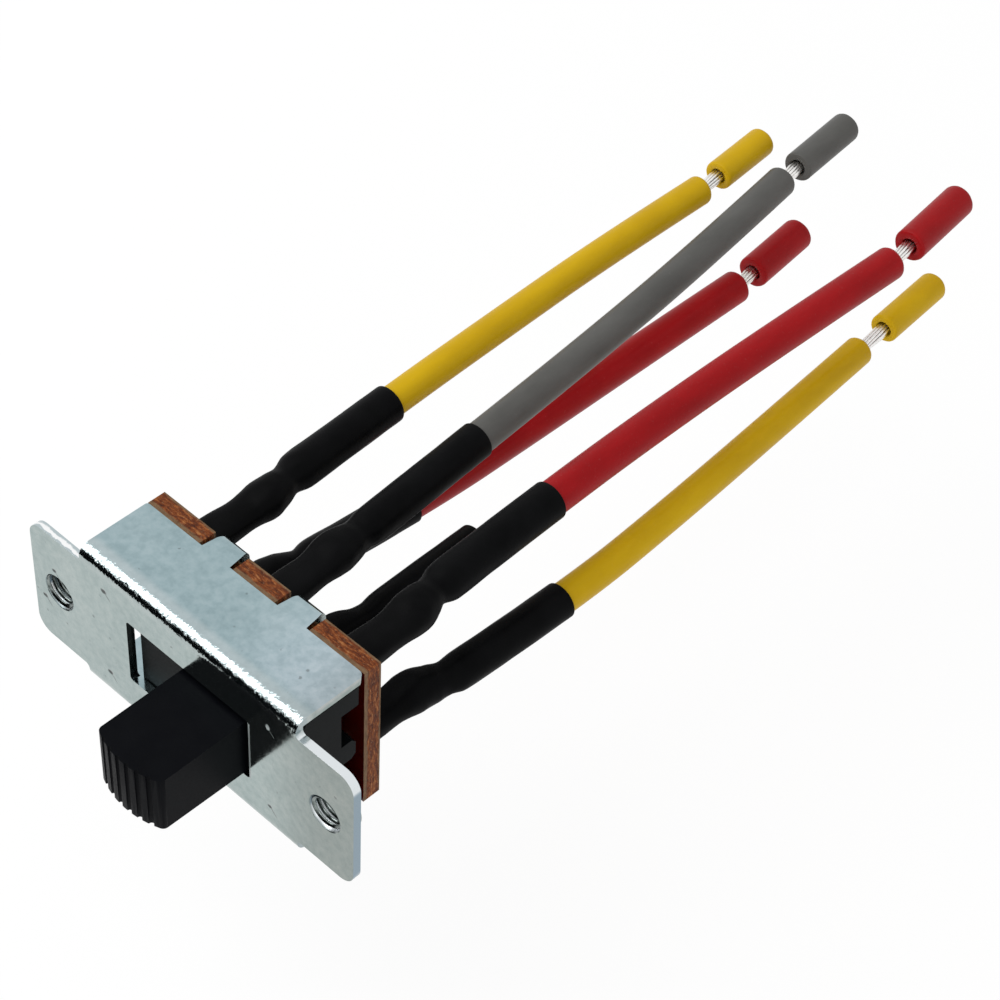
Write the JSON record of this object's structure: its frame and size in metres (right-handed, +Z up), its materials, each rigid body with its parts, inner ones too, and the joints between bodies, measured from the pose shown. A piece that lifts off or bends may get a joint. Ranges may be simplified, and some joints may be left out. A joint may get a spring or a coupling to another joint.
{
  "type": "ceiling fan reverse switch",
  "caption": "Slide switch that reverses a ceiling fan: steel mounting plate with tapped ears, ribbed black lever, laminate terminal board and sleeved lead wires.",
  "frame": {"origin": "midway between the two tapped ear holes, on the front face of the mounting plate", "axes": "+X along the plate's long side, +Y from the plate's front face back to the board and wires, +Z up across the plate"},
  "size_m": [0.0344, 0.0906, 0.0142],
  "materials": {
    "zinc_steel": "zinc plated, satin",
    "laminate": "paper laminate, red-brown",
    "black_moulding": "satin",
    "contact_alloy": "silver-flashed",
    "spring_steel": "satin",
    "solder": "satin",
    "black_sleeve": "shrunk sleeve, soft sheen",
    "yellow_pvc": "satin",
    "gray_pvc": "satin",
    "red_pvc": "satin",
    "tinned_strands": "tinned copper"
  },
  "bodies": {
    "switch_body": {"mounting_bracket": "zinc_steel", "terminal_board": "laminate", "terminal_upper_left": "contact_alloy", "terminal_upper_middle": "contact_alloy", "terminal_upper_right": "contact_alloy", "terminal_lower_left": "contact_alloy", "terminal_lower_middle": "contact_alloy", "terminal_lower_right": "contact_alloy", "solder_upper_left": "solder", "solder_upper_middle": "solder", "solder_upper_right": "solder", "solder_lower_left": "solder", "solder_lower_right": "solder", "sleeve_upper_left": "black_sleeve", "sleeve_upper_middle": "black_sleeve", "sleeve_upper_right": "black_sleeve", "sleeve_lower_left": "black_sleeve", "sleeve_lower_middle": "black_sleeve", "sleeve_lower_right": "black_sleeve", "wire_yellow_upper": "yellow_pvc", "strands_yellow_upper": "tinned_strands", "slug_yellow_upper": "yellow_pvc", "wire_gray_upper": "gray_pvc", "strands_gray_upper": "tinned_strands", "slug_gray_upper": "gray_pvc", "wire_red_upper": "red_pvc", "strands_red_upper": "tinned_strands", "slug_red_upper": "red_pvc", "wire_red_lower": "red_pvc", "strands_red_lower": "tinned_strands", "slug_red_lower": "red_pvc", "wire_yellow_lower": "yellow_pvc", "strands_yellow_lower": "tinned_strands", "slug_yellow_lower": "yellow_pvc"},
    "slider": {"slide_lever": "black_moulding", "bridge_contact_upper": "contact_alloy", "bridge_contact_lower": "contact_alloy", "contact_spring_upper": "spring_steel", "contact_spring_lower": "spring_steel"}
  },
  "joints": [
    {"name": "lever_slide", "type": "slide", "parent": "switch_body", "child": "slider", "axis": [1, 0, 0], "range_m": [-0.0055, 0]}
  ]
}
